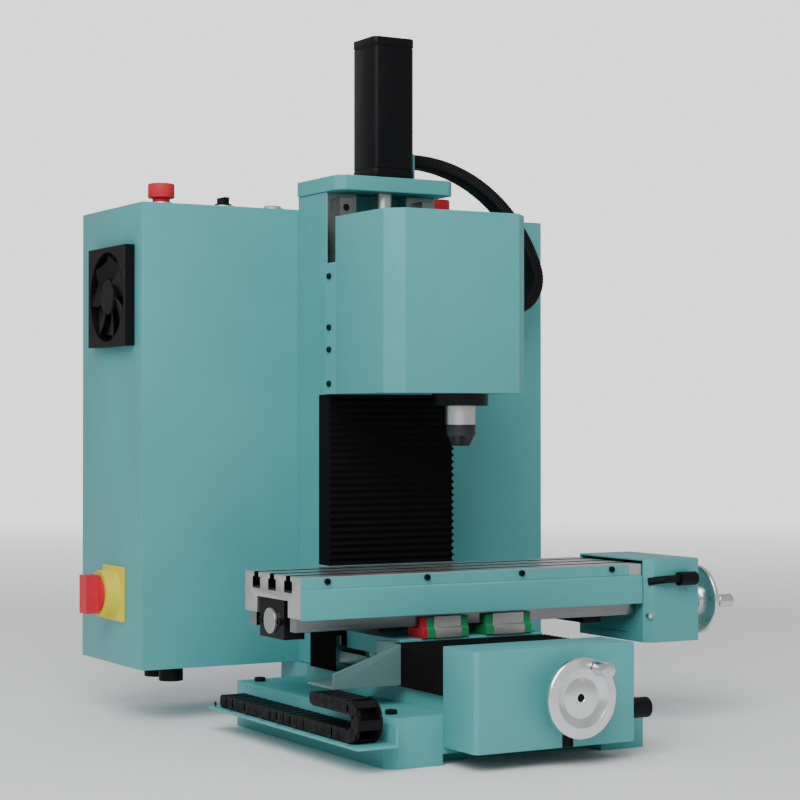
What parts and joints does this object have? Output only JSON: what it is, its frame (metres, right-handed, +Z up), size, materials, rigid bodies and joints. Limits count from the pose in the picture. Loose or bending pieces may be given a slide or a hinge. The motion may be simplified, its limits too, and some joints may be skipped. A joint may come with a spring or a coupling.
{
  "type": "vertical milling machine",
  "caption": "Bench vertical milling machine with slotted cross table, linear guides, ball screws, handwheels, spindle head and a control cabinet behind the column.",
  "frame": {"origin": "on the floor under the axis of the vertical ball screw, on the centre plane of the column", "axes": "+Z up, +X to the operator's right, +Y to the back"},
  "size_m": [0.7013, 0.721, 0.818],
  "materials": {
    "teal_paint": "satin teal powder coat",
    "black_paint": "satin black",
    "cast_iron": "ground",
    "machined_steel": "machined",
    "hard_steel": "ground and polished",
    "aluminium": "turned",
    "black_plastic": "matte",
    "bellows_cloth": "matte folded cloth",
    "red_plastic": "gloss",
    "yellow_plastic": "gloss",
    "green_plastic": "gloss",
    "block_steel": "ground",
    "zinc_sheet": "zinc plated",
    "cable_rubber": "matte"
  },
  "bodies": {
    "frame": {"base_casting": "teal_paint", "cable_tray": "teal_paint", "column": "teal_paint", "column_apron": "teal_paint", "top_plate": "teal_paint", "z_motor": "black_paint", "frame_bearing_blocks": "black_paint", "frame_rails": "hard_steel", "y_motor": "black_paint", "y_motor_plate": "machined_steel", "front_casing": "teal_paint", "cable_glands": "black_plastic", "y_bellows": "bellows_cloth", "z_bellows": "bellows_cloth", "y_cable_chain": "black_plastic", "z_cable_conduit": "black_plastic", "cabinet_shell": "teal_paint", "cabinet_door": "teal_paint", "mounting_plate": "zinc_sheet", "power_supply": "zinc_sheet", "motor_drivers": "black_paint", "control_unit": "black_plastic", "fan_frame": "black_plastic", "switch_plate": "yellow_plastic", "button_bezels": "machined_steel"},
    "saddle": {"saddle": "teal_paint", "y_rail_blocks": "block_steel", "x_rail_blocks": "block_steel", "chain_bracket": "teal_paint"},
    "table": {"table_top": "cast_iron", "x_rails": "hard_steel", "x_bearing_blocks": "black_paint", "table_cover": "teal_paint", "table_cover_screws": "black_paint", "x_casing": "teal_paint", "x_motor": "black_paint", "x_motor_plate": "machined_steel", "x_cable_elbow": "black_plastic", "x_cable": "cable_rubber"},
    "x_screw": {"x_ball_screw": "hard_steel", "x_handwheel": "aluminium"},
    "x_grip": {"x_handle_grip": "aluminium"},
    "y_screw": {"y_ball_screw": "hard_steel", "y_handwheel": "aluminium"},
    "y_grip": {"y_handle_grip": "aluminium"},
    "z_screw": {"z_ball_screw": "hard_steel"},
    "head": {"z_carriage": "teal_paint", "z_rail_blocks": "block_steel", "head_cover": "teal_paint", "head_screws": "black_paint", "spindle_housing": "machined_steel", "spindle_motor": "black_paint"},
    "spindle": {"spindle_shaft": "hard_steel", "collet_nut": "machined_steel"},
    "fan": {"fan_rotor": "black_plastic"},
    "main_switch": {"main_switch_knob": "red_plastic"},
    "selector": {"selector_knob": "black_plastic"},
    "stop": {"stop_button": "red_plastic"},
    "start": {"start_button": "green_plastic"},
    "reset": {"reset_button": "red_plastic"}
  },
  "joints": [
    {"name": "y_slide", "type": "slide", "parent": "frame", "child": "saddle", "axis": [0, 1, 0], "range_m": [-0.075, 0.048], "deforming": ["y_bellows", "y_cable_chain"]},
    {"name": "x_slide", "type": "slide", "parent": "saddle", "child": "table", "axis": [1, 0, 0], "range_m": [-0.105, 0.105]},
    {"name": "z_slide", "type": "slide", "parent": "frame", "child": "head", "axis": [0, 0, 1], "range_m": [-0.125, 0.03], "deforming": ["z_bellows", "z_cable_conduit"]},
    {"name": "x_screw_spin", "type": "hinge", "parent": "table", "child": "x_screw", "pos_m": [0, -0.1515, 0.14], "axis": [1, 0, 0], "continuous": true},
    {"name": "y_screw_spin", "type": "hinge", "parent": "frame", "child": "y_screw", "pos_m": [0, -0.2, 0.073], "axis": [0, 1, 0], "continuous": true},
    {"name": "z_screw_spin", "type": "hinge", "parent": "frame", "child": "z_screw", "pos_m": [0, 0, 0.3], "axis": [0, 0, 1], "continuous": true},
    {"name": "x_grip_spin", "type": "hinge", "parent": "x_screw", "child": "x_grip", "pos_m": [0.358, -0.186, 0.14], "axis": [1, 0, 0], "continuous": true},
    {"name": "y_grip_spin", "type": "hinge", "parent": "y_screw", "child": "y_grip", "pos_m": [0.01725, -0.43, 0.10288], "axis": [0, 1, 0], "continuous": true},
    {"name": "spindle_spin", "type": "hinge", "parent": "head", "child": "spindle", "pos_m": [0.022, -0.143, 0.4], "axis": [0, 0, 1], "continuous": true},
    {"name": "fan_spin", "type": "hinge", "parent": "frame", "child": "fan", "pos_m": [-0.286, 0.163, 0.508], "axis": [1, 0, 0], "continuous": true},
    {"name": "main_switch_turn", "type": "hinge", "parent": "frame", "child": "main_switch", "pos_m": [-0.31, 0.1645, 0.1505], "axis": [1, 0, 0], "range_deg": [0, 90]},
    {"name": "selector_turn", "type": "hinge", "parent": "frame", "child": "selector", "pos_m": [-0.1575, 0.12, 0.617], "axis": [0, 0, 1], "range_deg": [-45, 45]},
    {"name": "stop_press", "type": "slide", "parent": "frame", "child": "stop", "axis": [0, 0, -1], "range_m": [0, 0.004]},
    {"name": "start_press", "type": "slide", "parent": "frame", "child": "start", "axis": [0, 0, -1], "range_m": [0, 0.003], "stiffness_N_per_m": 400},
    {"name": "reset_press", "type": "slide", "parent": "frame", "child": "reset", "axis": [0, 0, -1], "range_m": [0, 0.003], "stiffness_N_per_m": 400}
  ],
  "couplings": [
    {"joint": "x_screw_spin", "follows": "x_slide", "rad_per_m": 1256.6},
    {"joint": "y_screw_spin", "follows": "y_slide", "rad_per_m": 1256.6},
    {"joint": "z_screw_spin", "follows": "z_slide", "rad_per_m": 1256.6}
  ]
}
